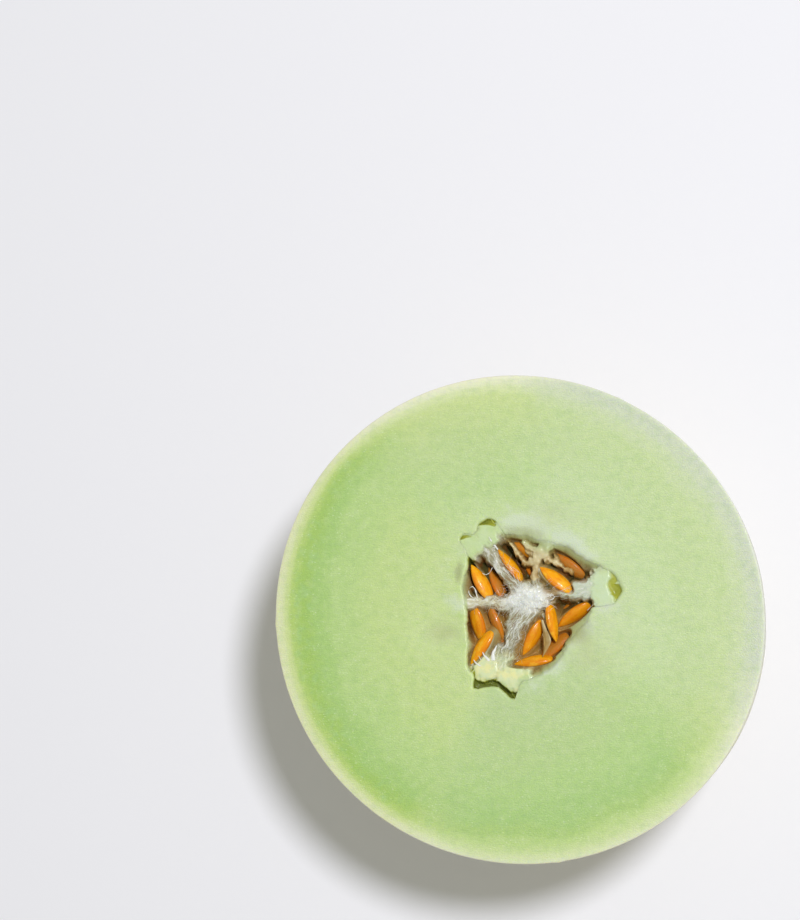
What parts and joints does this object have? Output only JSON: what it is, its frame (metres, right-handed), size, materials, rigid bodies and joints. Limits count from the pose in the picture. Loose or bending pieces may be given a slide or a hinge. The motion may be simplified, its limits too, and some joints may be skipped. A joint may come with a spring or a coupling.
{
  "type": "halved honeydew melon",
  "caption": "Half of a round honeydew melon, cut across and resting cut face up, with pale green flesh, smooth cream skin and orange seeds in white fibrous tissue.",
  "frame": {"origin": "middle of the small flat that the half rests on, at the blossom end, under the middle of the cut face", "axes": "+Z out of the cut face, along the melon's own axis from blossom end to stem end; +X and +Y in the cut face, with one corner of the seed cavity pointing along +X"},
  "size_m": [0.149, 0.146, 0.078],
  "materials": {
    "melon_flesh_and_skin": "moist pale green flesh, greener near the rim, under a thin smooth waxy cream skin",
    "placenta": "wet, white to pale green fibrous tissue, translucent",
    "seed": "wet glossy orange seed coat with faint lengthwise streaks"
  },
  "bodies": {
    "root": {"melon_half": "melon_flesh_and_skin", "placenta": "placenta", "seed_01": "seed", "seed_02": "seed", "seed_03": "seed", "seed_04": "seed", "seed_05": "seed", "seed_06": "seed", "seed_07": "seed", "seed_08": "seed", "seed_09": "seed", "seed_10": "seed", "seed_11": "seed", "seed_12": "seed", "seed_13": "seed", "seed_14": "seed", "seed_15": "seed", "seed_16": "seed", "seed_17": "seed", "seed_18": "seed", "seed_19": "seed", "seed_20": "seed"}
  },
  "joints": []
}
